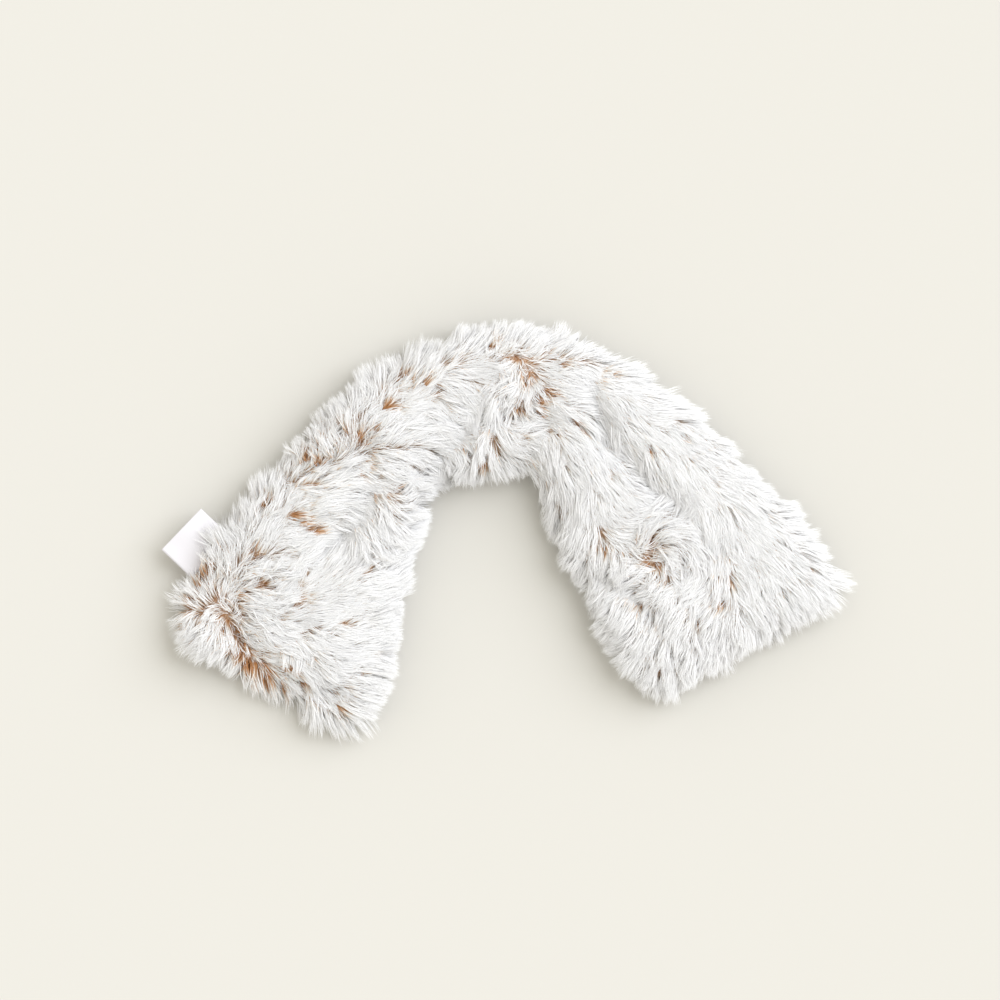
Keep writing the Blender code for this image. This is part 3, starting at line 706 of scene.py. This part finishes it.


# Sewn label
# A bare white satin ribbon 41 mm wide, folded double and caught in the side seam, with its
# fold curling up a little.

LABEL_SEAM = Vector((-0.19606, -0.11207, 0.0160))
LABEL_OUT = Vector((-0.7203, 0.6937, 0.0)).normalized()
LABEL_WIDTH = 0.041
LABEL_REACH = 0.029
LABEL_LIFT = 0.0035
RIBBON = 0.00025
FOLD_RADIUS = 0.00045
WARP_PITCH = 0.0005

label_along = Vector((LABEL_OUT.y, -LABEL_OUT.x, 0.0))
shape = bmesh.new()
profile = []
for i in range(19):
    out = LABEL_REACH * i / 18
    profile.append((out, LABEL_LIFT * (out / LABEL_REACH) ** 2 - FOLD_RADIUS))
for i in range(1, 8):
    turn = math.pi * (i / 8 - 0.5)
    out = LABEL_REACH + FOLD_RADIUS * math.cos(turn)
    profile.append((out, LABEL_LIFT + FOLD_RADIUS * math.sin(turn)))
for i in range(18, -1, -1):
    out = LABEL_REACH * i / 18
    profile.append((out, LABEL_LIFT * (out / LABEL_REACH) ** 2 + FOLD_RADIUS))
rows = []
for out, height in profile:
    row = []
    for k in range(25):
        across = k / 24 - 0.5
        wave = 0.0006 * math.sin(7 * across + 40 * out) * (out / LABEL_REACH)
        place = LABEL_SEAM + LABEL_OUT * out + label_along * (LABEL_WIDTH * across)
        row.append(shape.verts.new(place + Vector((0, 0, height + wave))))
    rows.append(row)
for a, b in zip(rows, rows[1:]):
    for k in range(24):
        shape.faces.new([a[k], a[k + 1], b[k + 1], b[k]])
bmesh.ops.recalc_face_normals(shape, faces=shape.faces)
label_mesh = bpy.data.meshes.new("sewn_satin_label")
shape.to_mesh(label_mesh)
shape.free()
label = bpy.data.objects.new("sewn_satin_label", label_mesh)
scene.collection.objects.link(label)
bpy.context.view_layer.objects.active = label
label.select_set(True)
apply_modifier(label, "SOLIDIFY", thickness=RIBBON, offset=0.0)
bpy.ops.object.shade_smooth()
label.select_set(False)

satin, tree, shader = new_material("woven_white_satin")
# Smooth and softly shining. Its warp threads lie 0.25 mm apart along the ribbon, too fine to
# show, so they are drawn WARP_PITCH apart. A wave texture has a factor of 20 of its own.
place = add_node(tree, "ShaderNodeTexCoord").outputs["Object"]
angle = math.atan2(label_along.y, label_along.x)
laid = add_node(
    tree, "ShaderNodeMapping", {"Vector": place, "Rotation": (0, 0, angle)}, vector_type="TEXTURE"
)
warp = add_node(
    tree,
    "ShaderNodeTexWave",
    {"Vector": laid.outputs["Vector"], "Scale": 2 * math.pi / WARP_PITCH / 20, "Distortion": 0.4},
    bands_direction="X",
)
bump = add_node(
    tree,
    "ShaderNodeBump",
    {"Height": warp.outputs["Fac"], "Distance": 0.00006, "Strength": 0.5},
)
tree.links.new(bump.outputs["Normal"], shader.inputs["Normal"])
shader.inputs["Base Color"].default_value = linear("E6E4E9")
shader.inputs["Roughness"].default_value = 0.38
shader.inputs["Sheen Weight"].default_value = 0.2
label.data.materials.append(satin)

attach(label, "root")
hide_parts("sewn_label")
